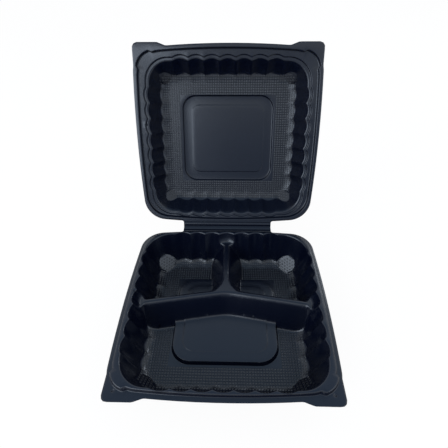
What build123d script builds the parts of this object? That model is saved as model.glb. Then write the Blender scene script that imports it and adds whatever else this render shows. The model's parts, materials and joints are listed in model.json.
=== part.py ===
"""Hinged takeaway container with three compartments, thermoformed from one sheet, standing open."""

import os
from math import asin, cos, radians, sin, sqrt, tan

from build123d import *

# Sheet, running gaps and cuts
sheet = 0.6
cut_overrun = 2.0
fold_gap = 0.3
fold_end_gap = 0.08
bead_side_gap = 0.45
bead_top_gap = 0.5

# Flange: bowed outline shared by both halves, with a lifting ear at each front corner
flange_half_width = 116.6
flange_half_depth = 112.1
flange_side_bow = 2.2
flange_end_bow = 6.0
flange_back_taper = 3.0
flange_corner = 29.0
ear_reach = 1.2
ear_side_inset = 2.0
ear_width = 30.1
ear_root_width = 40.1
ear_root_inset = 2.5
ear_length = 53.3
ear_corner = 6.0
ear_blend = 7.0

# Hinge tab across the back edges
tab_half_width = 60.5
tab_reach = 7.3
tab_notch = 3.0
lid_opening = 114.25

# Closing bead of the tray, which the lid's channel goes over, with a lug at each front corner
bead_inset_x = 4.6
bead_inset_y = 4.8
bead_side_bow = 2.3
bead_end_bow = 5.5
bead_back_taper = 2.0
bead_corner = 30.0
bead_height = 5.0
bead_draft = 0.9
lug_growth = 1.2
lug_corner = 22.0
lug_width = 18.0
lug_depth = 20.3

# Scalloped walls: flutes bulge outward and meet in cusps, and each corner turns in equal bends,
# all in narrow flat facets
flute_count = 7
flute_bulge = 2.7
flute_facets = 5
corner_bends = 3
bend_facets = 2

# Tray cavity: each ring is set in from the one above it
tray_height = 43.0
rim_inset_x = 5.0
rim_inset_y = 3.1
rim_corner = 31.0
foot_height = 6.0
foot_inset_x = 12.8
foot_inset_y = 11.8
foot_corner = 19.0
floor_inset_x = 8.7
floor_inset_y = 7.9
floor_corner = 13.0
tray_bend = 9.0
tray_row_inset_x = 13.4
tray_row_inset_y = 12.4

# Tilted flat across each corner of the tray, over the rounded corner of its foot
tray_flat_lift = 7.8
tray_flat_slope = 52.0

# Raised panel in the tray floor
panel_inset_x = 25.0
panel_inset_y = 28.0
panel_corner = 22.0
panel_rise = 6.0
panel_draft = 1.5

# Dividers: a chevron ridge across the tray and a rib from its apex to the back wall
ridge_drop = 9.0
ridge_half_width = 2.6
rib_half_width = 3.4
ridge_slope = 27.0
chevron_apex_y = 17.9
chevron_fall = 16.7
chevron_half_span = 95.0
ridge_flare = 5.5
ridge_flare_run = 7.0
junction_round = 6.0

# Lid: depths are measured from its flange, and its cavity sits a little nearer the fold
lid_shift = 2.6
ledge_depth = 7.5
lid_foot_depth = 27.5
lid_depth = 32.0
step_inset_x = 6.0
step_inset_y = 4.2
step_draft = 0.5
step_corner = 29.0
mouth_inset_x = 3.8
mouth_inset_y = 4.0
mouth_corner = 27.0
lid_foot_inset_x = 12.8
lid_foot_inset_y = 14.7
lid_foot_corner = 13.5
lid_floor_inset_x = 8.0
lid_floor_inset_y = 8.2
lid_floor_corner = 7.5
lid_bend = 5.0
lid_row_inset_x = 10.8
lid_row_inset_y = 7.3

# Tilted flat across each corner of the lid, over the rounded corner of its foot
lid_flat_lift = 2.3
lid_flat_slope = 42.0

# Panel in the lid, standing proud on the outside to nest under the next tray
lid_panel_inset_x = 21.6
lid_panel_inset_y = 20.2
lid_panel_corner = 17.0
lid_panel_rise = 3.0
lid_panel_draft = 1.5

# Half sizes worked out from the flange inward
ear_front = flange_half_depth + ear_reach
ear_side = flange_half_width - ear_side_inset
hinge_behind_centre = flange_half_depth + tab_reach
bead_half_width = flange_half_width - bead_inset_x
bead_half_depth = flange_half_depth - bead_inset_y
rim_half_width = bead_half_width - rim_inset_x
rim_half_depth = bead_half_depth - rim_inset_y
foot_half_width = rim_half_width - foot_inset_x
foot_half_depth = rim_half_depth - foot_inset_y
floor_half_width = foot_half_width - floor_inset_x
floor_half_depth = foot_half_depth - floor_inset_y
panel_half_width = floor_half_width - panel_inset_x
panel_half_depth = floor_half_depth - panel_inset_y
tray_row = (
    floor_half_width - flute_bulge - tray_row_inset_x,
    floor_half_depth - flute_bulge - tray_row_inset_y,
)
ridge_height = tray_height - ridge_drop
lid_centre = hinge_behind_centre - lid_shift
step_half_width = bead_half_width - step_inset_x
step_half_depth = bead_half_depth - step_inset_y
mouth_half_width = step_half_width - mouth_inset_x
mouth_half_depth = step_half_depth - mouth_inset_y
lid_foot_half_width = mouth_half_width - lid_foot_inset_x
lid_foot_half_depth = mouth_half_depth - lid_foot_inset_y
lid_floor_half_width = lid_foot_half_width - lid_floor_inset_x
lid_floor_half_depth = lid_foot_half_depth - lid_floor_inset_y
lid_panel_half_width = lid_floor_half_width - lid_panel_inset_x
lid_panel_half_depth = lid_floor_half_depth - lid_panel_inset_y
lid_row = (
    lid_floor_half_width - flute_bulge - lid_row_inset_x,
    lid_floor_half_depth - flute_bulge - lid_row_inset_y,
)

# Places worked out from the sizes above, with the whole part centred over its footprint
lean = radians(lid_opening - 90)
lid_reach = (lid_centre + lid_floor_half_depth) * sin(lean) + (lid_depth + sheet) * cos(lean)
tray_y = (ear_front - hinge_behind_centre - lid_reach) / 2
hinge_y = tray_y + hinge_behind_centre
hinge_z = tray_height + fold_gap / 2
rim_height = tray_height + bead_height
channel_depth = bead_height + bead_top_gap - fold_gap

tray_plane = Plane(origin=(0, tray_y, 0))
fold_plane = Plane(origin=(0, hinge_y, hinge_z), x_dir=(1, 0, 0), z_dir=(0, cos(lean), -sin(lean)))
lid_plane = fold_plane.offset(fold_gap / 2)


def bowed_face(half_width, half_depth, side_bow, end_bow, back_taper, corner):
    """Rectangle with bowed sides and rounded corners, narrower at its back."""
    side_x = half_width - side_bow
    back_x = side_x - back_taper
    end_y = half_depth - end_bow
    with BuildSketch() as outline:
        with BuildLine():
            ThreePointArc((-side_x, -end_y), (0, -half_depth), (side_x, -end_y))
            ThreePointArc((side_x, -end_y), (half_width, 0), (back_x, end_y))
            ThreePointArc((back_x, end_y), (0, half_depth), (-back_x, end_y))
            ThreePointArc((-back_x, end_y), (-half_width, 0), (-side_x, -end_y))
        make_face()
        fillet(outline.vertices(), corner)
    return outline.sketch


def ear_face():
    """Lifting ear at the right front corner, with an S-shaped inner end."""
    with BuildSketch() as ear:
        with BuildLine():
            Polyline(
                (ear_side - ear_root_width, ear_root_inset - flange_half_depth),
                (ear_side - ear_width, -ear_front),
                (ear_side, -ear_front),
                (ear_side, ear_length - ear_front),
                (ear_side - ear_root_width, ear_length - ear_front),
                close=True,
            )
        make_face()
        outer = ear.vertices().sort_by(lambda v: v.X - v.Y)[-1]
        fillet(outer, ear_corner)
        shoulder = ear.vertices().sort_by(lambda v: v.distance_to((ear_side - ear_width, -ear_front, 0)))[0]
        fillet(shoulder, ear_blend)
    return ear.sketch


def flange_face():
    """Whole flange with its ears and hinge tab, in tray coordinates."""
    tab_end = hinge_behind_centre - fold_end_gap
    ear = ear_face()
    body = bowed_face(
        flange_half_width,
        flange_half_depth,
        flange_side_bow,
        flange_end_bow,
        flange_back_taper,
        flange_corner,
    )
    with BuildSketch() as flange:
        add(body)
        add(ear)
        add(mirror(ear, about=Plane.YZ, mode=Mode.PRIVATE))
        with Locations((0, tab_end / 2)):
            Rectangle(2 * tab_half_width, tab_end)
        roots = [
            corner
            for corner in flange.vertices()
            if abs(abs(corner.X) - tab_half_width) < tab_notch and 0 < corner.Y < flange_half_depth
        ]
        fillet(roots, tab_notch)
    return flange.sketch


def bead_face(grow):
    """Outline of the closing bead with its two front lugs, grown outward by grow."""
    body = bowed_face(
        bead_half_width + grow,
        bead_half_depth + grow,
        bead_side_bow,
        bead_end_bow,
        bead_back_taper,
        bead_corner + grow,
    )
    lugs = bowed_face(
        bead_half_width + lug_growth + grow,
        bead_half_depth + lug_growth + grow,
        bead_side_bow,
        bead_end_bow,
        bead_back_taper,
        lug_corner + grow,
    )
    window_width = lug_width + 2 * (lug_growth + cut_overrun)
    window_depth = lug_depth + 2 * (lug_growth + cut_overrun)
    window_x = bead_half_width - lug_width - grow + window_width / 2
    window_y = bead_half_depth - lug_depth - grow + window_depth / 2
    with BuildSketch() as corners:
        with Locations((window_x, -window_y), (-window_x, -window_y)):
            Rectangle(window_width, window_depth)
        add(lugs, mode=Mode.INTERSECT)
    with BuildSketch() as bead:
        add(body)
        add(corners.sketch)
    return bead.sketch


def side_spot(side, along, out):
    """Point on one side of a ring, from its distances along that side and out from the middle."""
    along_x, along_y, out_x, out_y = side
    return (along_x * along + out_x * out, along_y * along + out_y * out)


def fluted_row(half_row):
    """Points along one row of flutes, as (distance along it, rise), each flute being a faceted arc."""
    half_pitch = half_row / flute_count
    radius = (half_pitch**2 + flute_bulge**2) / (2 * flute_bulge)
    half_angle = asin(half_pitch / radius)
    points = [(-half_row, 0)]
    for flute in range(flute_count):
        middle = (2 * flute + 1) * half_pitch - half_row
        for facet in range(1, flute_facets + 1):
            angle = half_angle * (2 * facet / flute_facets - 1)
            rise = flute_bulge - radius * (1 - cos(angle))
            points.append((middle + radius * sin(angle), rise))
    return points


def scalloped_ring(half_width, half_depth, corner, row, bend):
    """Rows of outward flutes on four sides, joined by plain corners that turn in equal bends."""
    cusps = (half_width - flute_bulge, half_depth - flute_bulge)
    sides = [(1, 0, 0, -1), (0, 1, 1, 0), (-1, 0, 0, 1), (0, -1, -1, 0)]
    turn = radians(90) / corner_bends
    shift = (corner - bend) / cos(turn / 2)
    points = []
    for index, side in enumerate(sides):
        across = index % 2
        end = cusps[across]
        reach = cusps[1 - across]
        points += [side_spot(side, along, reach + rise) for along, rise in fluted_row(row[across])]
        for step in range(corner_bends):
            middle = (step + 1 / 2) * turn
            along = end - corner + shift * sin(middle)
            out = reach - corner + shift * cos(middle)
            for facet in range(bend_facets + 1):
                angle = (step + facet / bend_facets) * turn
                points.append(side_spot(side, along + bend * sin(angle), out + bend * cos(angle)))
    return points


def divider_face(height, inset):
    """Plan of the chevron and its rib where they are cut at one height."""
    spread = (ridge_height - height) * tan(radians(ridge_slope)) - inset
    fall = chevron_fall / chevron_half_span
    stretch = (1 + fall**2) ** 0.5
    half = (ridge_half_width + spread) * stretch
    rib = rib_half_width + spread
    flare_x = rim_half_width - flute_bulge - ridge_flare_run
    flare_y = rim_half_depth - flute_bulge - ridge_flare_run
    end_x = rim_half_width + cut_overrun
    end_y = rim_half_depth + cut_overrun
    flare_rate = ridge_flare / ridge_flare_run
    side_flare = flare_rate * (end_x - flare_x)
    rib_flare = flare_rate * (end_y - flare_y)
    corner_y = chevron_apex_y + half - fall * rib
    right = [
        (flare_x, chevron_apex_y - half - fall * flare_x),
        (end_x, chevron_apex_y - half - fall * end_x - side_flare),
        (end_x, chevron_apex_y + half - fall * end_x + side_flare),
        (flare_x, chevron_apex_y + half - fall * flare_x),
        (rib, corner_y),
        (rib, flare_y),
        (rib + rib_flare, end_y),
    ]
    left = [(-x, y) for x, y in reversed(right)]
    with BuildSketch() as plan:
        with BuildLine():
            Polyline((0, chevron_apex_y - half), *right, *left, close=True)
        make_face()
        junctions = [
            corner
            for corner in plan.vertices()
            if abs(abs(corner.X) - rib) < sheet and corner.Y < flare_y - sheet
        ]
        fillet(junctions, junction_round)
    return plan.sketch


def loft_form(plane, sections):
    """Straight-sided solid through the faces given as (height, face) pairs."""
    with BuildPart() as form:
        for height, face in sections:
            with BuildSketch(plane.offset(height)):
                add(face)
        loft(ruled=True)
    return form.part


def walled_form(plane, levels):
    """Solid with flat walls between like rings of points, given as (height, points) pairs."""
    rings = [[plane.from_local_coords(Vector(x, y, height)) for x, y in ring] for height, ring in levels]
    walls = [Face(Wire.make_polygon(ring)) for ring in (rings[0], rings[-1])]
    for lower, upper in zip(rings, rings[1:]):
        for index, spot in enumerate(lower):
            walls.append(Face(Wire.make_polygon([lower[index - 1], spot, upper[index], upper[index - 1]])))
    with BuildPart() as form:
        add(Solid(Shell(walls)))
    return form.part


def moved_face(face, shift):
    """The same face moved along the plane's own Y."""
    with BuildSketch() as moved:
        with Locations((0, shift)):
            add(face)
    return moved.sketch


def panel_face(half_width, half_depth, corner):
    with BuildSketch() as panel:
        RectangleRounded(2 * half_width, 2 * half_depth, corner)
    return panel.sketch


def divider_form(inset, bottom, top):
    """Dividers as one solid between two heights, drawn in by inset."""
    sections = [(height, divider_face(height, inset)) for height in (bottom, top)]
    return loft_form(tray_plane, sections)


def corner_blocks(plane, half_width, half_depth, corner, centre_y, height, slope, mouth):
    """Blocks whose tops are the tilted flats across the corners of a cavity that opens along mouth."""
    cut_in = corner * (1 - sqrt(1 / 2))
    x = half_width - flute_bulge - cut_in
    y = half_depth - flute_bulge - cut_in
    level = sin(radians(slope)) * sqrt(1 / 2)
    with BuildPart() as blocks:
        for side_x, side_y in ((-1, -1), (1, -1), (1, 1), (-1, 1)):
            spot = Vector(side_x * x, centre_y + side_y * y, height)
            rise = Vector(-side_x * level, -side_y * level, mouth * cos(radians(slope)))
            start = plane.from_local_coords(spot)
            upright = plane.from_local_coords(spot + rise) - start
            with BuildSketch(Plane(origin=start, z_dir=upright)):
                Rectangle(2 * corner, 2 * corner)
            extrude(amount=-2 * corner)
    return blocks.part


def tray_ring(half_width, half_depth, corner, grow):
    """One scalloped section of the tray wall, grown outward by grow."""
    return scalloped_ring(half_width + grow, half_depth + grow, corner + grow, tray_row, tray_bend)


def tray_levels(grow, bottom, top):
    """Scalloped sections of the tray wall from its floor to its rim."""
    rim = tray_ring(rim_half_width, rim_half_depth, rim_corner, grow)
    foot = tray_ring(foot_half_width, foot_half_depth, foot_corner, grow)
    floor = tray_ring(floor_half_width, floor_half_depth, floor_corner, grow)
    return [(bottom, floor), (foot_height, foot), (top, rim)]


# Tray: outer form less grooves under the dividers and panel, hollowed by the cavity above them
flange = flange_face()
tray_outer = walled_form(tray_plane, tray_levels(sheet, 0, rim_height))
tray_inner = walled_form(tray_plane, tray_levels(0, sheet, rim_height))
divider_inset = sheet / cos(radians(ridge_slope))
flat_height = foot_height + tray_flat_lift
flat_drop = sheet / cos(radians(tray_flat_slope))
divider_top = divider_form(0, 0, ridge_height)
divider_groove = divider_form(divider_inset, -cut_overrun, ridge_height - sheet)
panel_foot = panel_face(panel_half_width + panel_draft, panel_half_depth + panel_draft, panel_corner)
panel_top = panel_face(panel_half_width, panel_half_depth, panel_corner)
hollow_foot = panel_face(
    panel_half_width + panel_draft - sheet, panel_half_depth + panel_draft - sheet, panel_corner - sheet
)
hollow_top = panel_face(panel_half_width - sheet, panel_half_depth - sheet, panel_corner - sheet)
panel_pad = loft_form(tray_plane, [(sheet, panel_foot), (sheet + panel_rise, panel_top)])
panel_hollow = loft_form(tray_plane, [(0, hollow_foot), (panel_rise, hollow_top)])
bead_outer = loft_form(
    tray_plane, [(tray_height - sheet, bead_face(0)), (rim_height, bead_face(-bead_draft))]
)
bead_hollow = loft_form(
    tray_plane,
    [(tray_height - sheet, bead_face(-sheet)), (rim_height - sheet, bead_face(-bead_draft - sheet))],
)


def tray_flats(drop):
    """Blocks under the flats in the tray's corners, sunk by drop."""
    return corner_blocks(
        tray_plane, foot_half_width, foot_half_depth, foot_corner, 0, flat_height - drop, tray_flat_slope, 1
    )


with BuildPart() as tray_shell:
    add(tray_outer)
    add(tray_flats(flat_drop), mode=Mode.SUBTRACT)

with BuildPart() as cavity:
    add(tray_inner)
    add(tray_flats(0), mode=Mode.SUBTRACT)
    add(divider_top, mode=Mode.SUBTRACT)
    add(panel_pad, mode=Mode.SUBTRACT)

with BuildPart() as tray:
    with BuildSketch(tray_plane.offset(tray_height - sheet)):
        add(flange)
    extrude(amount=sheet)
    add(bead_outer)
    add(bead_hollow, mode=Mode.SUBTRACT)
    add(tray_shell.part)
    add(divider_groove, mode=Mode.SUBTRACT)
    add(panel_hollow, mode=Mode.SUBTRACT)
    add(cavity.part, mode=Mode.SUBTRACT)

# Lid: flange, channel, scalloped ledge, wall, foot and proud panel, each hollowed by its inner form
lid_flange = moved_face(flange, -hinge_behind_centre)


def channel_form(grow, bottom, top):
    """Channel that goes over the tray's bead, grown outward by grow."""
    mouth = moved_face(bead_face(bead_side_gap + grow), -hinge_behind_centre)
    floor = moved_face(bead_face(bead_side_gap - bead_draft + grow), -hinge_behind_centre)
    return loft_form(lid_plane, [(bottom, mouth), (top, floor)])


def lid_ring(half_width, half_depth, corner, grow):
    """One scalloped section of the lid's ledge or wall, grown outward by grow."""
    ring = scalloped_ring(half_width + grow, half_depth + grow, corner + grow, lid_row, lid_bend)
    return [(x, y - lid_centre) for x, y in ring]


def ledge_form(grow, bottom, top):
    """Scalloped step between the channel and the wall."""
    upper = lid_ring(step_half_width, step_half_depth, step_corner, grow)
    lower = lid_ring(step_half_width, step_half_depth, step_corner, grow - step_draft)
    return walled_form(lid_plane, [(bottom, upper), (top, lower)])


def lid_wall_form(grow, bottom, foot, top):
    """Scalloped wall and foot of the lid, with a tilted flat across each corner."""
    mouth = lid_ring(mouth_half_width, mouth_half_depth, mouth_corner, grow)
    heel = lid_ring(lid_foot_half_width, lid_foot_half_depth, lid_foot_corner, grow)
    floor = lid_ring(lid_floor_half_width, lid_floor_half_depth, lid_floor_corner, grow)
    flats = corner_blocks(
        lid_plane,
        lid_foot_half_width,
        lid_foot_half_depth,
        lid_foot_corner,
        -lid_centre,
        lid_foot_depth - lid_flat_lift + grow / cos(radians(lid_flat_slope)),
        lid_flat_slope,
        -1,
    )
    with BuildPart() as wall:
        add(walled_form(lid_plane, [(bottom, mouth), (foot, heel), (top, floor)]))
        add(flats, mode=Mode.SUBTRACT)
    return wall.part


def lid_panel_form(grow, bottom, top):
    """Proud panel of the lid, grown outward by grow."""
    root = panel_face(
        lid_panel_half_width + lid_panel_draft + grow,
        lid_panel_half_depth + lid_panel_draft + grow,
        lid_panel_corner + grow,
    )
    crown = panel_face(lid_panel_half_width + grow, lid_panel_half_depth + grow, lid_panel_corner + grow)
    return loft_form(
        lid_plane, [(bottom, moved_face(root, -lid_centre)), (top, moved_face(crown, -lid_centre))]
    )


lid_outers = [
    channel_form(sheet, 0, channel_depth + sheet),
    ledge_form(sheet, channel_depth, ledge_depth + sheet),
    lid_wall_form(sheet, ledge_depth, lid_foot_depth, lid_depth + sheet),
    lid_panel_form(sheet, lid_depth, lid_depth + sheet + lid_panel_rise),
]
lid_inners = [
    channel_form(0, 0, channel_depth),
    ledge_form(0, channel_depth, ledge_depth),
    lid_wall_form(0, ledge_depth, lid_foot_depth, lid_depth),
    lid_panel_form(0, lid_depth, lid_depth + lid_panel_rise),
]

with BuildPart() as lid:
    with BuildSketch(lid_plane):
        add(lid_flange)
    extrude(amount=sheet)
    for outer in lid_outers:
        add(outer)
    for inner in lid_inners:
        add(inner, mode=Mode.SUBTRACT)

tray.part.label = "tray"
lid.part.label = "lid"
os.makedirs("parts", exist_ok=True)
export_step(tray.part, "parts/tray.step")
export_step(lid.part, "parts/lid.step")
print(f"hinge y {hinge_y:.3f} z {hinge_z:.3f}, tray centre y {tray_y:.3f}")
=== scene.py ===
"""Looks of the hinged takeaway container: two black sheets formed by heat, open on a pale floor."""

import json
import math

import bmesh
import bpy
import numpy as np
from mathutils import Matrix, Vector
from mathutils.bvhtree import BVHTree


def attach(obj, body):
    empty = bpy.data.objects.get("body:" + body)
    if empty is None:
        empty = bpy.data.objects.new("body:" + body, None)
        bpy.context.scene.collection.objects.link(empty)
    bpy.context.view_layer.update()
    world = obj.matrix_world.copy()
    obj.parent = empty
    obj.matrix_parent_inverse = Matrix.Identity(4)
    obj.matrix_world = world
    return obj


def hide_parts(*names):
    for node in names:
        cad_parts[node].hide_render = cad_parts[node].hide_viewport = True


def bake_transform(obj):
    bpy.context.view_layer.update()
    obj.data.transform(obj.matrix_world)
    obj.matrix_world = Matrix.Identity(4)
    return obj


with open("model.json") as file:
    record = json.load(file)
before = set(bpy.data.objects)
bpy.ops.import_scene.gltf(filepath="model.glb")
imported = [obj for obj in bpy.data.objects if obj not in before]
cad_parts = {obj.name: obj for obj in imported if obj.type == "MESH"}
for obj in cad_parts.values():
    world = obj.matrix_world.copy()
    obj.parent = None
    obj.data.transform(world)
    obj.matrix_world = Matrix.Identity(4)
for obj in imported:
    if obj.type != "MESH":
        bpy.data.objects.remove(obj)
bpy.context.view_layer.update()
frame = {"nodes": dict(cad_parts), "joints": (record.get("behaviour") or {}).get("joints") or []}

# Sizes are in millimetres. The frame gives the fold's place and the lid's angle.
MM = 0.001
SHEET = 0.6
HINGE = frame["joints"][0]
FOLD_Y = HINGE["pos_m"][1] / MM
FOLD_Z = HINGE["pos_m"][2] / MM
LEAN = math.radians(-HINGE["range_deg"][0] - 90)
FOLD_BEHIND_CENTRE = 119.4
FOLD_GAP = 0.3
TRAY_Y = FOLD_Y - FOLD_BEHIND_CENTRE

# Hinge tab, and the web that folds, measured across the fold from the tray's side to the lid's
TAB_HALF_WIDTH = 60.5
NOTCH_STEPS = (-0.03, 0.03, 0.35, 0.9, 1.6, 2.3, 3.0)
NOTCH_CLEARANCE = 0.006
WEB_START = -8.3
WEB_END = 8.9
WEB_STEPS = 87
WEB_THICKNESS = 0.24
WEB_INSET = 0.15
WEB_CLEARANCE = 0.12
WEB_LIFT = 0.7
WEB_MIDDLE = 0.3
WEB_REACH = 8.6
WEB_EDGE = 0.6
WEB_GROOVES = (-4.2, 1.8, 6.8)
GROOVE_DEPTH = 0.95
GROOVE_WIDTH = 1.0
WEB_RIB = -0.7
WEB_RIB_HEIGHT = 0.5
WEB_RIB_WIDTH = 0.9
BEND_HALF = 1.2

# Steps along a flute, round a corner and across a rounded fold, how much of a short span a rounding may
# take, and the longest spans between rings
FLUTES = 7
FLUTE_STEPS = 8
CORNER_STEPS = 28
FOLD_STEPS = 5
FOLD_SHARE = 0.45
TRAY_SPAN = 6.5
LID_SPAN = 5.0

# Longest edges of the meshes on a divider's slopes, at its foot, on its crest, round the corners' flats
# and in the small marks, each with the band that it holds in, and the length at which none is cut
SLOPE_EDGE = 3.2
SLOPE_BAND = 5.0
CREASE_EDGE = 1.7
CREASE_BAND = 1.5
CREST_EDGE = 1.4
CREST_BAND = 3.0
TRAY_FLAT_EDGE = 1.3
LID_FLAT_EDGE = 0.8
FLAT_BAND = 1.6
MARK_EDGE = 0.5
MARK_BAND = 1.6
BURIED_EDGE = 0.8
BURIED_DEPTH = 2.0
ABOVE_RIDGE = 4.0
NO_LIMIT = 1e3
CUTTING_PASSES = 6

# Tray: heights above the table, half lengths of its rows of flutes, its lip and bead, and the middles of
# the corner arcs from which its outline is read
FLANGE_Z = 43.0
RIM_Z = 48.0
FOOT_Z = 6.0
FLOOR_Z = SHEET
PANEL_Z = FLOOR_Z + 6.0
TRAY_ROW = (69.4, 69.4)
PLATEAU_STEP = 0.5
LIP_WIDTH = 1.3
LIP_DROP = 0.45
BEAD_FOOT_RISE = 0.4
BEAD_TOP_DROP = 0.3
TRAY_CORNERS = (73.1, 70.3)

# Tray's fluted rings: half width, half depth, bulge of a flute and corner radius
TRAY_RIM = (107.0, 104.2, 2.9, 31.8)
TRAY_FOOT = (94.2, 92.4, 2.7, 19.0)
TRAY_FLOOR = (85.5, 84.5, 2.2, 12.0)

# Rings of its panel, from the foot inwards: half width, half depth and corner radius
TRAY_PANEL_FOOT = (62.0, 58.0, 22.5)
TRAY_PANEL = (60.5, 56.5, 22.0)
TRAY_STEP = (49.5, 45.5, 14.0)
TRAY_PLATEAU = (48.8, 44.8, 13.3)
TRAY_MIDDLE = (24.0, 12.0, 6.0)
TRAY_MIDDLE_Y = -28

# Half sizes between the wall's cusps, at foot and rim
WALL_WIDTHS = (91.7, 104.1)
WALL_DEPTHS = (89.9, 101.3)

# Dividers
RIDGE_Z = 34.0
RIDGE_HALF = 2.6
RIB_HALF = 3.4
RIDGE_RATE = 1 / math.tan(math.radians(27.0))
CHEVRON_APEX = 17.9
CHEVRON_FALL = 16.7 / 95.0
APEX_ROUND = 7.0
JUNCTION_ROUND = 3.0
JUNCTION_SPREAD = 12.0
JUNCTION_RUN = 26.0
JUNCTION_FALL = 2.4
FLARE = 5.5
FLARE_RUN = 8.0
CREST_ROUND = 4.0
CROWN_SHARE = 0.12
FOOT_ROUND = 4.0
CAP_ROUND = 12.0
CAP_DEPTH = 14.0
FORMED_ABOVE_RIDGE = 6.0

# Lid: depths behind its flange, half lengths of its rows of flutes, and the middles of its corner arcs
LID_SHIFT = 2.6
CHANNEL_DEPTH = 5.2
LEDGE_DEPTH = 7.5
LID_FOOT_DEPTH = 29.4
LID_DEPTH = 32.0
LID_PANEL_DEPTH = 35.0
LID_ROW = (67.9, 66.2)
LID_CORNERS = (70.0, 67.0)
CHANNEL_READ_DEPTH = 1.4
CHANNEL_SLACK = 0.1
FORMED_BELOW_LEDGE = 4.0

# Lid's fluted rings: half width, half depth, bulge of a flute and corner radius
LID_CHANNEL = (106.0, 103.1, 2.9, 29.0)
LID_LEDGE = (105.5, 102.6, 2.9, 28.5)
LID_RIM = (102.2, 99.1, 2.9, 27.0)
LID_FOOT = (89.4, 84.4, 3.0, 13.5)
LID_FLOOR = (81.4, 76.2, 2.6, 7.2)

# Rings of its panel, from the foot inwards: half width, half depth and corner radius
LID_PANEL_FOOT = (61.0, 57.2, 17.6)
LID_PANEL = (59.8, 56.0, 17.0)
LID_STEP = (49.0, 45.2, 10.0)
LID_PLATEAU = (48.3, 44.5, 9.3)
LID_MIDDLE = (20.0, 18.0, 5.0)

# Tilted round flats across the corners: where each leaves the floor on the diagonal, its slope,
# its middle on the diagonal and its radius
TRAY_FLAT = (108.6, 1.22, 116.3, 12.3)
LID_FLAT = (105.6, 0.9, 112.0, 9.5)
FLAT_EDGE = 0.35
FLAT_FALL = 2.0
CORNER_REACH = 60.0
FAR_BELOW = -1e3

# Floor grain: half width, half depth and corner radius of each studded floor, half width and depth of
# the bare panel in it
TRAY_GRAIN = (92.0, 90.0, 17.0, 63.5, 59.5)
LID_GRAIN = (87.0, 82.0, 12.0, 62.0, 58.0)

# Studs, with the steepest ground that they stand on and how they flatten on a slope
STUD_PITCH = 3.1
STUD_WIDTH = 2.6
STUD_SHOULDER = 2.1
STUD_TOP = 0.4
STUD_HEIGHT = 0.58
STUD_SHOULDER_HEIGHT = 0.36
STUD_SINK = 0.06
STUD_CLEARANCE = 2.0
STUD_STEEPEST = -0.55
STUD_SQUASH = (-1.7, -0.75)

# Small round marks pressed into the ears and rims
EAR_DIMPLES = ((-104.6, -103.0), (104.6, -103.0))
TRAY_PIP = (-106.1, 7.9)
LID_PIP = (-104.9, -18.0)
MARK_RADIUS = 2.2
MARK_DEPTH = 0.8
MARK_SLACK = 1.0

# Angles past which an edge is shaded sharp
SHEET_CREASE = 50
WEB_CREASE = 60


# Rings: closed rows of points that every section of one half shares, front side first, anticlockwise


class RingPlan:
    """Where the points of a ring lie along its four sides and round its corners."""

    def __init__(self, row, shift):
        self.row = row
        self.shift = shift
        plain = np.linspace(-1, 1, FLUTES * FLUTE_STEPS + 1)
        notch = TAB_HALF_WIDTH + np.array(NOTCH_STEPS)
        marks = np.concatenate([notch, -notch]) / row[0]
        apart = np.abs(plain[:, None] - marks).min(1) > NOTCH_CLEARANCE
        back = np.sort(np.concatenate([plain[apart], marks]))
        self.sides = [plain, plain, back, plain]
        self.angles = np.radians(np.linspace(0, 90, CORNER_STEPS + 1))
        self.frames = [((1, 0), (0, -1)), ((0, 1), (1, 0)), ((-1, 0), (0, 1)), ((0, -1), (-1, 0))]

    def build(self, side_points, corner_points):
        """A ring from side_points(side, shares) and corner_points(side, angles), in a side's own axes."""
        rows = []
        for side, (along, out) in enumerate(self.frames):
            for a, o in (side_points(side, self.sides[side]), corner_points(side, self.angles)):
                rows.append(np.outer(a, along) + np.outer(o, out))
        return np.concatenate(rows)

    def scalloped(self, half_width, half_depth, bulge, corner):
        """Ring of outward flutes with plain round corners."""
        cusps = (half_width - bulge, half_depth - bulge)

        def side_points(side, shares):
            across = side % 2
            phase = ((shares + 1) * FLUTES / 2) % 1
            rise = bulge * (1 - (2 * phase - 1) ** 2)
            return shares * self.row[across], cusps[1 - across] + rise

        def corner_points(side, angles):
            across = side % 2
            a = cusps[across] - corner + corner * np.sin(angles)
            o = cusps[1 - across] - corner + corner * np.cos(angles)
            return a, o

        return self.build(side_points, corner_points) + (0, self.shift)

    def boxed(self, half_width, half_depth, corner):
        """Rounded rectangle."""
        halves = (half_width, half_depth)

        def side_points(side, shares):
            across = side % 2
            return shares * (halves[across] - corner), np.full(len(shares), halves[1 - across])

        def corner_points(side, angles):
            across = side % 2
            a = halves[across] - corner + corner * np.sin(angles)
            o = halves[1 - across] - corner + corner * np.cos(angles)
            return a, o

        return self.build(side_points, corner_points) + (0, self.shift)

    def cast(self, tree, place, height, centre, inset):
        """Outline of the CAD solid at one height, drawn in by inset along each ray."""
        far = 400.0

        def hit(start, aim):
            origin = place(np.array([[*start, height]]))[0]
            target = place(np.array([[start[0] + aim[0], start[1] + aim[1], height]]))[0]
            way = (Vector(target) - Vector(origin)).normalized()
            spot = tree.ray_cast(Vector(origin) + way * far * MM, -way)
            return far - spot[3] / MM - inset

        def side_points(side, shares):
            across = side % 2
            along, out = self.frames[side]
            a = shares * self.row[across]
            o = [hit((along[0] * x, along[1] * x + self.shift), out) for x in a]
            return a, np.array(o)

        def corner_points(side, angles):
            across = side % 2
            along, out = self.frames[side]
            base_a, base_o = centre[across], centre[1 - across]
            start = (
                along[0] * base_a + out[0] * base_o,
                along[1] * base_a + out[1] * base_o + self.shift,
            )
            reach = []
            for angle in angles:
                s, c = math.sin(angle), math.cos(angle)
                reach.append(hit(start, (along[0] * s + out[0] * c, along[1] * s + out[1] * c)))
            reach = np.array(reach)
            return base_a + reach * np.sin(angles), base_o + reach * np.cos(angles)

        return self.build(side_points, corner_points) + (0, self.shift)


def at_height(ring, height):
    """The ring's points with a height."""
    return np.column_stack([ring, np.full(len(ring), height)])


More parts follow.
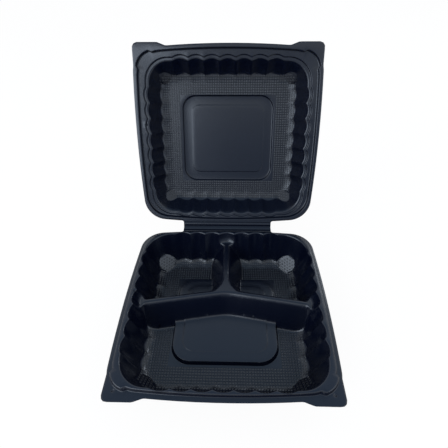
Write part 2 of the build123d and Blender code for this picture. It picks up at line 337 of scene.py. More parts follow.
def rounded_profile(folds, longest):
    """Rings through the folds, given as (ring, rounding), each fold rounded and long spans cut up."""
    rings = [folds[0][0]]
    for (before, _), (fold, rounding), (after, _) in zip(folds, folds[1:], folds[2:]):
        if rounding == 0:
            rings.append(fold)
            continue
        ends = []
        for other in (before, after):
            way = other - fold
            length = np.linalg.norm(way, axis=1, keepdims=True) + 1e-9
            ends.append(fold + way / length * np.minimum(rounding, FOLD_SHARE * length))
        for t in np.linspace(0, 1, FOLD_STEPS):
            rings.append((1 - t) ** 2 * ends[0] + 2 * t * (1 - t) * fold + t**2 * ends[1])
    rings.append(folds[-1][0])
    cut = [rings[0]]
    for first, second in zip(rings, rings[1:]):
        count = max(1, math.ceil(np.linalg.norm(second - first, axis=1).mean() / longest))
        cut += [first + (second - first) * k / count for k in range(1, count + 1)]
    return cut


def ring_mesh(rings, centre):
    """Points and faces of the skin over the rings, closed at a centre point."""
    count = len(rings[0])
    points = np.concatenate([*rings, centre[None]])
    faces = []
    for level in range(len(rings) - 1):
        low, high = level * count, (level + 1) * count
        for j in range(count):
            k = (j + 1) % count
            faces.append((low + j, low + k, high + k, high + j))
    last = (len(rings) - 1) * count
    faces += [(last + j, last + (j + 1) % count, len(points) - 1) for j in range(count)]
    return points, faces


# Heights that the dividers, corner flats and small marks add to the sheets or take from them


def smooth_max(a, b, width):
    """The larger of two heights, with the crease between them rounded."""
    share = np.clip(0.5 + (a - b) / (2 * width), 0, 1)
    return b + (a - b) * share + width * share * (1 - share)


def smooth_min(a, b, width):
    """The smaller of two heights, with the crease between them rounded."""
    return -smooth_max(-a, -b, width)


def ramp(value):
    """Smooth step from 0 to 1."""
    t = np.clip(value, 0, 1)
    return t * t * (3 - 2 * t)


def wall_reach(half, z):
    """How far out a cusp of the wall stands at a height, from its half sizes at foot and rim."""
    return half[0] + (half[1] - half[0]) * (z - FOOT_Z) / (RIM_Z - FOOT_Z)


def divider_flares(x, y):
    """How far the chevron and the rib have spread towards the wall at their ends, none to one."""
    side_end = wall_reach(WALL_WIDTHS, RIDGE_Z)
    back_end = wall_reach(WALL_DEPTHS, RIDGE_Z)
    chevron = ramp((np.abs(x) - side_end + FLARE_RUN) / FLARE_RUN) ** 2
    rib = ramp((y - back_end + FLARE_RUN) / FLARE_RUN) ** 2
    return chevron, rib


def divider_height(x, y):
    """Height of the chevron and rib over the floor, sunk well below it where there is no divider."""
    stretch = math.hypot(1, CHEVRON_FALL)
    bend = np.sqrt(x**2 + APEX_ROUND**2) - APEX_ROUND
    off_chevron = np.abs(y - CHEVRON_APEX + CHEVRON_FALL * bend) / stretch
    chevron_flare, rib_flare = divider_flares(x, y)
    chevron_gap = off_chevron - RIDGE_HALF - FLARE * chevron_flare
    spread = JUNCTION_SPREAD * (1 - np.clip((y - CHEVRON_APEX) / JUNCTION_RUN, 0, 1)) ** JUNCTION_FALL
    rib_gap = np.abs(x) - RIB_HALF - FLARE * rib_flare - spread
    behind = (CHEVRON_APEX - y) * RIDGE_RATE
    rib_gap = np.maximum(rib_gap, behind)
    gap = smooth_min(chevron_gap, rib_gap, JUNCTION_ROUND)
    crown = RIDGE_Z + CROWN_SHARE * CREST_ROUND
    return smooth_min(crown - gap * RIDGE_RATE, np.full_like(x, crown), CREST_ROUND * RIDGE_RATE / 2)


def corner_flat(points, shift, flat, floor):
    """Height of the tilted flat across a corner, far below the floor away from the corners."""
    x, y = np.abs(points[:, 0]), np.abs(points[:, 1] - shift)
    start, slope, middle, radius = flat
    out, aside = (x + y) / math.sqrt(2), (x - y) / math.sqrt(2)
    beyond = np.hypot(aside, (out - middle) * math.hypot(1, slope)) - radius
    height = floor + (out - start) * slope - FLAT_FALL * np.clip(beyond, 0, None)
    return np.where(np.minimum(x, y) > CORNER_REACH, height, FAR_BELOW)


def near_flat(first, second, shift, flat, floor):
    """Whether each edge lies on or close to the border of a corner's flat."""
    over = [p[:, 2] - corner_flat(p, shift, flat, floor) for p in (first, second)]
    return np.minimum(np.abs(over[0]), np.abs(over[1])) < FLAT_BAND


def near_marks(first, second, spots):
    """Whether each edge comes near one of the small marks."""
    stations = (first, second, (first + second) / 2)
    ways = [np.hypot(p[:, 0] - x, p[:, 1] - y) for x, y in spots for p in stations]
    return np.min(ways, axis=0) < MARK_BAND * MARK_RADIUS


def press_marks(points, spots, top):
    """Presses a small round dimple into the sheet at each spot, where it lies above top."""
    for x, y in spots:
        share = np.hypot(points[:, 0] - x, points[:, 1] - y) / MARK_RADIUS
        depth = MARK_DEPTH * np.clip(1 - share**2, 0, None) ** 2
        points[:, 2] -= np.where(points[:, 2] > top, depth, 0)


# Meshes


def plain_object(name, points, faces):
    """A new object at the origin with this mesh, in metres."""
    mesh = bpy.data.meshes.new(name)
    mesh.from_pydata([tuple(p) for p in points], [], faces)
    mesh.validate()
    thing = bpy.data.objects.new(name, mesh)
    bpy.context.scene.collection.objects.link(thing)
    return thing


def baked(thing):
    """The same object with its modifiers made into plain mesh."""
    graph = bpy.context.evaluated_depsgraph_get()
    mesh = bpy.data.meshes.new_from_object(thing.evaluated_get(graph))
    thing.modifiers.clear()
    old = thing.data
    thing.data = mesh
    bpy.data.meshes.remove(old)
    return thing


def smooth(thing, degrees):
    """Shades the mesh smooth, but for edges that turn by more than these degrees."""
    thing.data.shade_smooth()
    thing.data.set_sharp_from_angle(angle=math.radians(degrees))


def thickened(thing):
    """Gives a skin the sheet's thickness, on the side away from its normals."""
    wall = thing.modifiers.new("sheet", "SOLIDIFY")
    wall.thickness = SHEET * MM
    wall.offset = -1
    wall.use_quality_normals = True
    return baked(thing)


def refined(points, faces, wanted):
    """Triangles cut until no edge is longer than wanted(points at its ends), in a few passes."""
    work = bmesh.new()
    spots = [work.verts.new(p) for p in points]
    for face in faces:
        work.faces.new([spots[k] for k in face])
    bmesh.ops.triangulate(work, faces=work.faces[:])
    for _ in range(CUTTING_PASSES):
        work.verts.index_update()
        ends = np.array([(e.verts[0].index, e.verts[1].index) for e in work.edges])
        places = np.array([v.co for v in work.verts])
        first, second = places[ends[:, 0]], places[ends[:, 1]]
        long = np.linalg.norm(first - second, axis=1) > wanted(first, second)
        if not long.any():
            break
        chosen = [e for e, cut in zip(work.edges, long) if cut]
        bmesh.ops.subdivide_edges(work, edges=chosen, cuts=1)
        bmesh.ops.triangulate(work, faces=[f for f in work.faces if len(f.verts) > 3])
    work.verts.index_update()
    places = np.array([v.co for v in work.verts])
    result = [tuple(v.index for v in f.verts) for f in work.faces]
    work.free()
    return places, result


def cad_tree(node):
    """Search tree over one CAD node, for reading its outlines."""
    mesh = frame["nodes"][node].data
    return BVHTree.FromPolygons([v.co for v in mesh.vertices], [p.vertices for p in mesh.polygons])


def tray_place(points):
    """Tray coordinates in millimetres to metres in the frame."""
    return (np.asarray(points, float) + (0, TRAY_Y, 0)) * MM


def lid_place(points):
    """Lid coordinates, centred on its flange with height towards the tray, to metres in the frame."""
    points = np.asarray(points, float)
    from_fold = FOLD_BEHIND_CENTRE - points[:, 1]
    depth = FOLD_GAP / 2 - points[:, 2]
    y = FOLD_Y + from_fold * math.sin(LEAN) + depth * math.cos(LEAN)
    z = FOLD_Z + from_fold * math.cos(LEAN) - depth * math.sin(LEAN)
    return np.column_stack([points[:, 0], y, z]) * MM


def make_tray():
    """The tray's upper skin: flange, bead, fluted wall, floor, panel and dividers."""
    plan = RingPlan(TRAY_ROW, 0)
    tree = cad_tree("tray")
    edge = plan.cast(tree, tray_place, FLANGE_Z - SHEET / 2, TRAY_CORNERS, 0)
    lip = plan.cast(tree, tray_place, FLANGE_Z - SHEET / 2, TRAY_CORNERS, LIP_WIDTH)
    bead_low = plan.cast(tree, tray_place, FLANGE_Z + BEAD_FOOT_RISE, TRAY_CORNERS, 0)
    bead_high = plan.cast(tree, tray_place, RIM_Z - BEAD_TOP_DROP, TRAY_CORNERS, 0)
    plateau = PANEL_Z + PLATEAU_STEP
    # Each fold is a ring and how far its rounding reaches
    folds = [
        (at_height(edge, FLANGE_Z - LIP_DROP), 0),
        (at_height(lip, FLANGE_Z), 0.6),
        (at_height(bead_low, FLANGE_Z), 1.0),
        (at_height(bead_high, RIM_Z), 1.6),
        (at_height(plan.scalloped(*TRAY_RIM), RIM_Z), 1.7),
        (at_height(plan.scalloped(*TRAY_FOOT), FOOT_Z), 4.4),
        (at_height(plan.scalloped(*TRAY_FLOOR), FLOOR_Z), 6.0),
        (at_height(plan.boxed(*TRAY_PANEL_FOOT), FLOOR_Z), 0.8),
        (at_height(plan.boxed(*TRAY_PANEL), PANEL_Z), 1.0),
        (at_height(plan.boxed(*TRAY_STEP), PANEL_Z), 0.5),
        (at_height(plan.boxed(*TRAY_PLATEAU), plateau), 0.5),
        (at_height(plan.boxed(*TRAY_MIDDLE) + (0, TRAY_MIDDLE_Y), plateau), 0),
    ]
    rings = rounded_profile(folds, TRAY_SPAN)
    points, faces = ring_mesh(rings, np.array([0, TRAY_MIDDLE_Y, plateau]))
    marks = (*EAR_DIMPLES, TRAY_PIP)

    def wanted(first, second):
        """Longest edge to leave between these ends."""
        limit = np.full(len(first), NO_LIMIT)
        over = [p[:, 2] - divider_height(p[:, 0], p[:, 1]) for p in (first, second)]
        limit[np.minimum(*over) < SLOPE_BAND] = SLOPE_EDGE
        close = np.minimum(np.abs(over[0]), np.abs(over[1])) < CREASE_BAND
        limit[close | (over[0] * over[1] < 0)] = CREASE_EDGE
        middle = (first + second) / 2
        crest = divider_height(middle[:, 0], middle[:, 1]) > RIDGE_Z - CREST_BAND
        limit[crest] = np.minimum(limit[crest], CREST_EDGE)
        run = np.linalg.norm((first - second)[:, :2], axis=1)
        buried = (np.maximum(*over) < -BURIED_DEPTH) & (run < BURIED_EDGE)
        above = np.maximum(first[:, 2], second[:, 2]) >= RIDGE_Z + ABOVE_RIDGE
        limit[buried | above] = NO_LIMIT
        limit[near_flat(first, second, 0, TRAY_FLAT, FLOOR_Z)] = TRAY_FLAT_EDGE
        limit[near_marks(first, second, marks) & (first[:, 2] > FLANGE_Z - MARK_SLACK)] = MARK_EDGE
        return limit

    points, faces = refined(points, faces, wanted)
    low = points[:, 2] < RIDGE_Z + FORMED_ABOVE_RIDGE
    floor = points[low]
    raised = smooth_max(floor[:, 2], corner_flat(floor, 0, TRAY_FLAT, FLOOR_Z), FLAT_EDGE)
    cap = np.maximum(*divider_flares(floor[:, 0], floor[:, 1])) * (floor[:, 2] > RIDGE_Z - CAP_DEPTH)
    rounding = FOOT_ROUND + (CAP_ROUND - FOOT_ROUND) * cap
    points[low, 2] = smooth_max(raised, divider_height(floor[:, 0], floor[:, 1]), rounding)
    press_marks(points, marks, FLANGE_Z - MARK_SLACK)
    return plain_object("tray_sheet", tray_place(points), faces)


def make_lid():
    """The lid's inner skin: flange, channel, ledge, fluted wall, floor and panel."""
    plan = RingPlan(LID_ROW, LID_SHIFT)
    tree = cad_tree("lid")
    edge = plan.cast(tree, lid_place, -SHEET / 2, LID_CORNERS, 0)
    lip = plan.cast(tree, lid_place, -SHEET / 2, LID_CORNERS, LIP_WIDTH)
    channel_top = plan.cast(tree, lid_place, -CHANNEL_READ_DEPTH, LID_CORNERS, SHEET - CHANNEL_SLACK)
    channel_low = plan.cast(tree, lid_place, -CHANNEL_DEPTH, LID_CORNERS, SHEET)
    plateau = PLATEAU_STEP - LID_PANEL_DEPTH
    # Each fold is a ring and how far its rounding reaches
    folds = [
        (at_height(edge, -LIP_DROP), 0),
        (at_height(lip, 0), 0.6),
        (at_height(channel_top, 0), 0.8),
        (at_height(channel_low, -CHANNEL_DEPTH), 1.2),
        (at_height(plan.scalloped(*LID_CHANNEL), -CHANNEL_DEPTH), 0.8),
        (at_height(plan.scalloped(*LID_LEDGE), -LEDGE_DEPTH), 0.8),
        (at_height(plan.scalloped(*LID_RIM), -LEDGE_DEPTH), 1.4),
        (at_height(plan.scalloped(*LID_FOOT), -LID_FOOT_DEPTH), 3.0),
        (at_height(plan.scalloped(*LID_FLOOR), -LID_DEPTH), 4.0),
        (at_height(plan.boxed(*LID_PANEL_FOOT), -LID_DEPTH), 0.7),
        (at_height(plan.boxed(*LID_PANEL), -LID_PANEL_DEPTH), 0.9),
        (at_height(plan.boxed(*LID_STEP), -LID_PANEL_DEPTH), 0.5),
        (at_height(plan.boxed(*LID_PLATEAU), plateau), 0.5),
        (at_height(plan.boxed(*LID_MIDDLE), plateau), 0),
    ]
    rings = rounded_profile(folds, LID_SPAN)
    points, faces = ring_mesh(rings, np.array([0, LID_SHIFT, plateau]))

    def wanted(first, second):
        """Longest edge to leave between these ends."""
        limit = np.full(len(first), NO_LIMIT)
        limit[near_flat(first, second, LID_SHIFT, LID_FLAT, -LID_DEPTH)] = LID_FLAT_EDGE
        limit[near_marks(first, second, (LID_PIP,)) & (first[:, 2] > -LEDGE_DEPTH - MARK_SLACK)] = MARK_EDGE
        return limit

    points, faces = refined(points, faces, wanted)
    low = points[:, 2] < -LEDGE_DEPTH - FORMED_BELOW_LEDGE
    floor = points[low]
    flats = corner_flat(floor, LID_SHIFT, LID_FLAT, -LID_DEPTH)
    points[low, 2] = smooth_max(floor[:, 2], flats, FLAT_EDGE)
    press_marks(points, (LID_PIP,), -LEDGE_DEPTH - MARK_SLACK)
    return plain_object("lid_sheet", lid_place(points), [face[::-1] for face in faces])


# Hinge web: the thin grooved strip that folds


def make_web():
    """Strip across the fold with low ribs along it, in the sheet's own bend at rest."""
    steps = np.linspace(WEB_START, WEB_END, WEB_STEPS)
    lifts = WEB_LIFT * ramp((WEB_REACH - np.abs(steps - WEB_MIDDLE)) / WEB_EDGE)
    for groove in WEB_GROOVES:
        lifts -= GROOVE_DEPTH * np.exp(-(((steps - groove) / GROOVE_WIDTH) ** 2))
    lifts += WEB_RIB_HEIGHT * np.exp(-(((steps - WEB_RIB) / WEB_RIB_WIDTH) ** 2))
    lifts += WEB_CLEARANCE
    angles = (math.radians(90) - LEAN) * ramp((steps + BEND_HALF) / (2 * BEND_HALF))
    strides = np.diff(steps, prepend=steps[0])
    y = np.cumsum(strides * np.cos(angles))
    z = np.cumsum(strides * np.sin(angles))
    middle = np.argmin(np.abs(steps))
    y = FOLD_Y + y - y[middle] - lifts * np.sin(angles)
    z = FOLD_Z + z - z[middle] + lifts * np.cos(angles)
    half = TAB_HALF_WIDTH - WEB_INSET
    points = [(x, *spot) for spot in zip(y, z) for x in (-half, half)]
    faces = [(2 * k, 2 * k + 1, 2 * k + 3, 2 * k + 2) for k in range(WEB_STEPS - 1)]
    return plain_object("hinge_web", np.array(points) * MM, faces)


# Floor grain: small studs that a node tree sets on the sheet under a flat grid of points


def stud_tree():
    """Node tree that drops each point onto a sheet and sets a low square stud on it there."""
    tree = bpy.data.node_groups.new("floor_studs", "GeometryNodeTree")
    face = tree.interface
    face.new_socket("Geometry", in_out="INPUT", socket_type="NodeSocketGeometry")
    for name, kind in (
        ("Sheet", "NodeSocketObject"),
        ("Down", "NodeSocketVector"),
        ("Turn", "NodeSocketRotation"),
        ("Width", "NodeSocketFloat"),
        ("Top", "NodeSocketFloat"),
        ("Height", "NodeSocketFloat"),
        ("Shoulder", "NodeSocketVector"),
        ("Sink", "NodeSocketVector"),
        ("Finish", "NodeSocketMaterial"),
    ):
        face.new_socket(name, in_out="INPUT", socket_type=kind)
    face.new_socket("Geometry", in_out="OUTPUT", socket_type="NodeSocketGeometry")

    def add(kind, settings=None, values=None, links=None):
        """A node with its settings, fixed values and links from (node, output) pairs."""
        made = tree.nodes.new(kind)
        for key, value in (settings or {}).items():
            setattr(made, key, value)
        for key, value in (values or {}).items():
            made.inputs[key].default_value = value
        for key, (source, output) in (links or {}).items():
            tree.links.new(source.outputs[output], made.inputs[key])
        return made

    entry = add("NodeGroupInput")
    wide = add("ShaderNodeMath", {"operation": "MULTIPLY"}, {1: math.sqrt(0.5)}, {0: (entry, "Width")})
    top = add("ShaderNodeMath", {"operation": "MULTIPLY"}, {1: math.sqrt(0.5)}, {0: (entry, "Top")})
    cone = add(
        "GeometryNodeMeshCone",
        {"fill_type": "NGON"},
        {"Vertices": 4, "Side Segments": 2},
        {"Radius Bottom": (wide, 0), "Radius Top": (top, 0), "Depth": (entry, "Height")},
    )
    spot = add("GeometryNodeInputPosition")
    up = add("ShaderNodeSeparateXYZ", None, None, {0: (spot, 0)})
    half = add("ShaderNodeMath", {"operation": "MULTIPLY"}, {1: 0.5}, {0: (entry, "Height")})
    waist = add(
        "FunctionNodeCompare",
        {"operation": "EQUAL"},
        {"Epsilon": 0.00001},
        {"A": (up, "Z"), "B": (half, 0)},
    )
    pushed = add(
        "ShaderNodeVectorMath", {"operation": "MULTIPLY"}, None, {0: (spot, 0), 1: (entry, "Shoulder")}
    )
    stud = add(
        "GeometryNodeSetPosition",
        None,
        None,
        {"Geometry": (cone, "Mesh"), "Selection": (waist, 0), "Position": (pushed, 0)},
    )
    seated = add(
        "GeometryNodeTransform",
        None,
        {"Rotation": (0, 0, math.radians(45))},
        {"Geometry": (stud, "Geometry"), "Translation": (entry, "Sink")},
    )
    sheet = add("GeometryNodeObjectInfo", None, None, {"Object": (entry, "Sheet")})
    drop = add(
        "GeometryNodeRaycast",
        None,
        {"Ray Length": 0.1},
        {"Target Geometry": (sheet, "Geometry"), "Ray Direction": (entry, "Down")},
    )
    tilt = add(
        "FunctionNodeAlignRotationToVector",
        {"axis": "Z"},
        None,
        {"Rotation": (entry, "Turn"), "Vector": (drop, "Hit Normal")},
    )
    facing = add(
        "ShaderNodeVectorMath",
        {"operation": "DOT_PRODUCT"},
        None,
        {0: (drop, "Hit Normal"), 1: (entry, "Down")},
    )
    level = add(
        "FunctionNodeCompare",
        {"operation": "LESS_THAN"},
        {"B": STUD_STEEPEST},
        {"A": (facing, "Value")},
    )
    kept = add("FunctionNodeBooleanMath", None, None, {0: (level, 0), 1: (drop, "Is Hit")})
    flatter = add(
        "ShaderNodeMath",
        {"operation": "MULTIPLY_ADD"},
        {1: STUD_SQUASH[0], 2: STUD_SQUASH[1]},
        {0: (facing, "Value")},
    )
    squash = add("ShaderNodeCombineXYZ", None, {"X": 1.0, "Y": 1.0}, {"Z": (flatter, 0)})
    spread = add(
        "GeometryNodeInstanceOnPoints",
        None,
        None,
        {
            "Points": (entry, "Geometry"),
            "Selection": (kept, 0),
            "Instance": (seated, "Geometry"),
            "Rotation": (tilt, 0),
            "Scale": (squash, 0),
        },
    )
    landed = add(
        "GeometryNodeSetPosition",
        None,
        None,
        {"Geometry": (spread, "Instances"), "Position": (drop, "Hit Position")},
    )
    solid = add("GeometryNodeRealizeInstances", None, None, {"Geometry": (landed, 0)})
    paint = add(
        "GeometryNodeSetMaterial", None, None, {"Geometry": (solid, 0), "Material": (entry, "Finish")}
    )
    add("NodeGroupOutput", None, None, {"Geometry": (paint, 0)})
    return tree


def set_input(modifier, name, value):
    """Sets one named input of a node-tree modifier by its socket's identifier."""
    for item in modifier.node_group.interface.items_tree:
        if item.item_type == "SOCKET" and item.in_out == "INPUT" and item.name == name:
            modifier[item.identifier] = value


def floor_grid(half_width, half_depth, corner, hole_width, hole_depth):
    """Points of a square grid over a floor, inside its edge and outside its panel."""
    count_x, count_y = (int(half / STUD_PITCH) for half in (half_width, half_depth))
    across = np.arange(-count_x, count_x + 1) * STUD_PITCH
    along = np.arange(-count_y, count_y + 1) * STUD_PITCH
    x, y = (g.ravel() for g in np.meshgrid(across, along))
    in_corner = np.hypot(
        np.maximum(np.abs(x) - half_width + corner, 0), np.maximum(np.abs(y) - half_depth + corner, 0)
    )
    keep = (in_corner < corner) & ((np.abs(x) > hole_width) | (np.abs(y) > hole_depth))
    return x[keep], y[keep]


def make_studs(name, points, sheet, down, turn, tree, finish):
    """The studs of one floor as a plain mesh, dropped from these points onto its sheet."""
    studs = plain_object(name, points, [])
    grow = studs.modifiers.new("studs", "NODES")
    grow.node_group = tree
    set_input(grow, "Sheet", sheet)
    set_input(grow, "Down", down)
    set_input(grow, "Turn", turn)
    set_input(grow, "Width", STUD_WIDTH * MM)
    set_input(grow, "Top", STUD_TOP * MM)
    set_input(grow, "Height", STUD_HEIGHT * MM)
    wider = 2 * STUD_SHOULDER / (STUD_WIDTH + STUD_TOP)
    set_input(grow, "Shoulder", (wider, wider, 2 * STUD_SHOULDER_HEIGHT / STUD_HEIGHT))
    set_input(grow, "Sink", (0, 0, -STUD_SINK * MM))
    set_input(grow, "Finish", finish)
    return baked(studs)


# Materials: the plastic's two tones and roughness, plain and on the studs, where the lighter tones are
# painted sheen for the light that the floor grain catches, what clouds and grain add to the roughness, its
# sheen, and the floor

PLAIN_DARK = (0.0005, 0.0014, 0.0062, 1)
PLAIN_LIGHT = (0.0009, 0.0020, 0.0076, 1)
PLAIN_GLOSS = 0.18
# Studs: a rougher skin whose lighter tones are painted sheen, standing in for the light that the grain
# catches
STUD_PAINTED_SHEEN_DARK = (0.0100, 0.0110, 0.0145, 1)
STUD_PAINTED_SHEEN_LIGHT = (0.0130, 0.0140, 0.0175, 1)
STUD_GLOSS = 0.3
CLOUD_SHARE = 0.05
GRAIN_SHARE = 0.04
PLASTIC_IOR = 1.49
SHEEN_TINT = (0.80, 0.90, 1.0, 1)
FLOOR_COLOUR = (0.86, 0.86, 0.86, 1)
FLOOR_GLOW = 0.93


class Shade:
    """A socket in a material's node tree. Arithmetic on it adds Math nodes."""

    def __init__(self, tree, socket):
        self.tree = tree
        self.socket = socket

    def node(self, kind, settings=None, output=0, **values):
        """A new node: its settings first, then its sockets' values or links. Returns one output."""
        made = self.tree.nodes.new(kind)
        for key, value in (settings or {}).items():
            setattr(made, key, value)
        for key, value in values.items():
            slot = made.inputs[int(key[1:])] if key[1:].isdigit() else made.inputs[key.replace("_", " ")]
            if isinstance(value, Shade):
                self.tree.links.new(value.socket, slot)
            else:
                slot.default_value = value
        return Shade(self.tree, made.outputs[output])

    def maths(self, operation, first, second):
        return self.node("ShaderNodeMath", {"operation": operation}, i0=first, i1=second)

    def __add__(self, other):
        return self.maths("ADD", self, other)

    def __radd__(self, other):
        return self.maths("ADD", other, self)

    def __mul__(self, other):
        return self.maths("MULTIPLY", self, other)

    def __rmul__(self, other):
        return self.maths("MULTIPLY", other, self)


def new_material(name):
    """A material with its Principled shader and a Shade on its object coordinates."""
    material = bpy.data.materials.new(name)
    material.use_nodes = True
    tree = material.node_tree
    shader = tree.nodes["Principled BSDF"]
    place = Shade(tree, tree.nodes.new("ShaderNodeTexCoord").outputs["Object"])
    return material, shader, place


def feed(shader, name, shade):
    """Links a shade to one of the shader's sockets."""
    shade.tree.links.new(shade.socket, shader.inputs[name])


def black_plastic(name, dark, light, gloss):
    """Black filled polypropylene between two tones, with a skin of this roughness and a faint grain."""
    material, shader, place = new_material(name)
    cloud = place.node("ShaderNodeTexNoise", None, 0, Vector=place, Scale=14.0, Detail=3.0)
    grain = place.node("ShaderNodeTexNoise", None, 0, Vector=place, Scale=1400.0, Detail=2.0)
    tone = place.node("ShaderNodeMix", {"data_type": "RGBA"}, 2, i0=cloud, i6=dark, i7=light)
    feed(shader, "Base Color", tone)
    feed(shader, "Roughness", gloss + CLOUD_SHARE * cloud + GRAIN_SHARE * grain)
    bump = place.node("ShaderNodeBump", None, 0, Strength=0.25, Distance=0.00006, Height=grain)
    feed(shader, "Normal", bump)
    shader.inputs["IOR"].default_value = PLASTIC_IOR
    shader.inputs["Specular Tint"].default_value = SHEEN_TINT
    return material


def seen_rays(tree):
    """One where a ray from the camera, a mirror or a glass arrives, else nothing."""
    path = tree.nodes.new("ShaderNodeLightPath")
    camera_ray, glossy_ray, glass_ray = (
        Shade(tree, path.outputs[f"Is {kind} Ray"]) for kind in ("Camera", "Glossy", "Transmission")
    )
    return camera_ray + glossy_ray + glass_ray


def floor_white():
    """Pale floor, seen and mirrored as a white ground with a faint shadow."""
    material, shader, _ = new_material("pale_floor")
    tree = material.node_tree
    shader.inputs["Base Color"].default_value = FLOOR_COLOUR
    shader.inputs["Roughness"].default_value = 0.9
    shader.inputs["Specular IOR Level"].default_value = 0.0
    seen = seen_rays(tree)
    glow = tree.nodes.new("ShaderNodeEmission")
    glow.inputs["Color"].default_value = (1, 1, 1, 1)
    glow.inputs["Strength"].default_value = 1.0
    blend = tree.nodes.new("ShaderNodeMixShader")
    tree.links.new((seen * FLOOR_GLOW).socket, blend.inputs["Fac"])
    tree.links.new(shader.outputs["BSDF"], blend.inputs[1])
    tree.links.new(glow.outputs["Emission"], blend.inputs[2])
    tree.links.new(blend.outputs["Shader"], tree.nodes["Material Output"].inputs["Surface"])
    return material


# Pieces

plastic = black_plastic("black_plastic", PLAIN_DARK, PLAIN_LIGHT, PLAIN_GLOSS)
# The studs' plastic is lighter in tone as painted sheen for the light that their grain catches
stud_painted_sheen = black_plastic("stud_plastic_with_painted_sheen", STUD_PAINTED_SHEEN_DARK, STUD_PAINTED_SHEEN_LIGHT, STUD_GLOSS)
for node in frame["nodes"].values():
    node.data.materials.clear()
    node.data.materials.append(plastic)

tray_sheet = thickened(make_tray())
lid_sheet = thickened(make_lid())
for sheet in (tray_sheet, lid_sheet):
    sheet.data.materials.append(plastic)
    smooth(sheet, SHEET_CREASE)

hinge_web = make_web()
strip = hinge_web.modifiers.new("strip", "SOLIDIFY")
strip.thickness = WEB_THICKNESS * MM
strip.offset = 0
baked(hinge_web)
hinge_web.data.materials.append(plastic)
smooth(hinge_web, WEB_CREASE)

studs = stud_tree()
grid_x, grid_y = floor_grid(*TRAY_GRAIN)
clear = divider_height(grid_x, grid_y) < FLOOR_Z - STUD_CLEARANCE
grid = np.column_stack([grid_x[clear], grid_y[clear], np.full(clear.sum(), RIM_Z)])
tray_down = (0, 0, -1)
tray_turn = (0, 0, 0)
tray_studs = make_studs("tray_studs", tray_place(grid), tray_sheet, tray_down, tray_turn, studs, stud_painted_sheen)
grid_x, grid_y = floor_grid(*LID_GRAIN)
grid = np.column_stack([grid_x, grid_y + LID_SHIFT, np.zeros(len(grid_x))])
lid_down = (0, math.cos(LEAN), -math.sin(LEAN))
lid_turn = (math.radians(90) - LEAN, 0, 0)
lid_studs = make_studs("lid_studs", lid_place(grid), lid_sheet, lid_down, lid_turn, studs, stud_painted_sheen)

for piece, body in ((tray_sheet, "tray"), (tray_studs, "tray"), (lid_sheet, "lid"), (lid_studs, "lid")):
    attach(piece, body)
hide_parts("tray")
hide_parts("lid")
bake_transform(hinge_web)

# Stage, light and camera

FLOOR_REACH = 4
FLOOR_DROP = 0.0004
LAMP_COLOUR = (0.93, 0.95, 1.0)
ROOM_STRENGTH = 1.3

corners = [(x * FLOOR_REACH, y * FLOOR_REACH, 0) for x, y in ((-1, -1), (1, -1), (1, 1), (-1, 1))]
floor = plain_object("floor", corners, [(0, 1, 2, 3)])
floor.location.z = -FLOOR_DROP
floor.data.materials.append(floor_white())

scene = bpy.context.scene
scene.view_settings.view_transform = "Standard"


def soft_lamp(name, spot, target, size, power):
    """A softbox of this size and power, aimed at target."""
    data = bpy.data.lights.new(name, "AREA")
    data.shape = "RECTANGLE"
    data.size, data.size_y = size
    data.energy = power
    data.color = LAMP_COLOUR
    lamp = bpy.data.objects.new(name, data)
    scene.collection.objects.link(lamp)
    lamp.location = spot
    lamp.rotation_mode = "QUATERNION"
    lamp.rotation_quaternion = (Vector(target) - Vector(spot)).to_track_quat("-Z", "Y")


# Lamps: place, aim and size in metres, and watts
LAMPS = {
    "key": ((-1.04, -1.11, 0.75), (0, 0.03, 0.1), (1.7, 0.9), 19),
    "fill": ((1.2, -0.7, 0.6), (0, 0, 0.1), (0.7, 0.7), 2.0),
    "rim": ((0.9, 1.0, 1.1), (0, 0, 0.05), (0.3, 0.3), 2.5),
}
for name, (spot, target, size, power) in LAMPS.items():
    soft_lamp(name, spot, target, size, power)

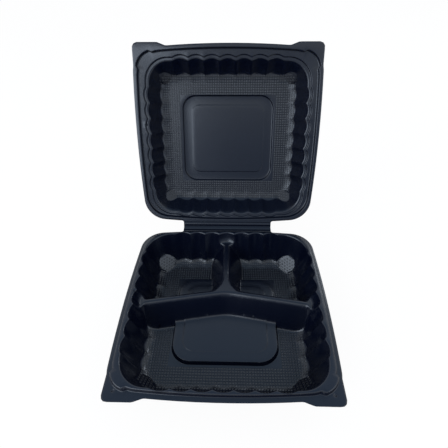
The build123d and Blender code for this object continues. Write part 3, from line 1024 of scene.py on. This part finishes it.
# Room light by height, from the horizon to straight up, at its brightest a third of the way
ROOM = (
    (0.0, (0.46, 0.49, 0.57)),
    (0.2, (0.33, 0.38, 0.46)),
    (0.34, (0.40, 0.44, 0.53)),
    (0.48, (1.0, 1.0, 1.0)),
    (0.78, (0.94, 0.94, 0.96)),
    (0.87, (0.46, 0.58, 0.72)),
    (1.0, (0.40, 0.48, 0.58)),
)
world = bpy.data.worlds.new("studio")
world.use_nodes = True
scene.world = world
sky = world.node_tree
direction = Shade(sky, sky.nodes.new("ShaderNodeTexCoord").outputs["Generated"])
height = direction.node("ShaderNodeSeparateXYZ", None, 2, Vector=direction)
backdrop = direction.node("ShaderNodeValToRGB", None, 0, Fac=height)
stops = backdrop.socket.node.color_ramp.elements
while len(stops) < len(ROOM):
    stops.new(1.0)
for stop, (place, colour) in zip(stops, ROOM):
    stop.position = place
    stop.color = (*colour, 1)
sky.links.new(backdrop.socket, sky.nodes["Background"].inputs["Color"])
sky.nodes["Background"].inputs["Strength"].default_value = ROOM_STRENGTH

# Camera: place in millimetres, angles in radians, focal length in pixels of a square frame
CAMERA_SPOT = (7.50, TRAY_Y - 228.40, 381.51)
CAMERA_PITCH = 0.7622
CAMERA_YAW = -0.0341
CAMERA_ROLL = -0.0146
FOCAL_PIXELS = 346.26
FRAME_PIXELS = 448
SENSOR = 36.0

lens = bpy.data.cameras.new("camera")
lens.sensor_width = SENSOR
lens.lens = FOCAL_PIXELS / FRAME_PIXELS * SENSOR
lens.clip_start = 0.01
camera = bpy.data.objects.new("camera", lens)
scene.collection.objects.link(camera)
forward = Vector(
    (
        math.sin(CAMERA_YAW) * math.cos(CAMERA_PITCH),
        math.cos(CAMERA_YAW) * math.cos(CAMERA_PITCH),
        -math.sin(CAMERA_PITCH),
    )
)
level = Vector((math.cos(CAMERA_YAW), -math.sin(CAMERA_YAW), 0))
upward = level.cross(forward)
right = math.cos(CAMERA_ROLL) * level + math.sin(CAMERA_ROLL) * upward
up = math.cos(CAMERA_ROLL) * upward - math.sin(CAMERA_ROLL) * level
basis = Matrix((right, up, -forward)).transposed().to_4x4()
basis.translation = Vector(CAMERA_SPOT) * MM
camera.matrix_world = basis
scene.camera = camera
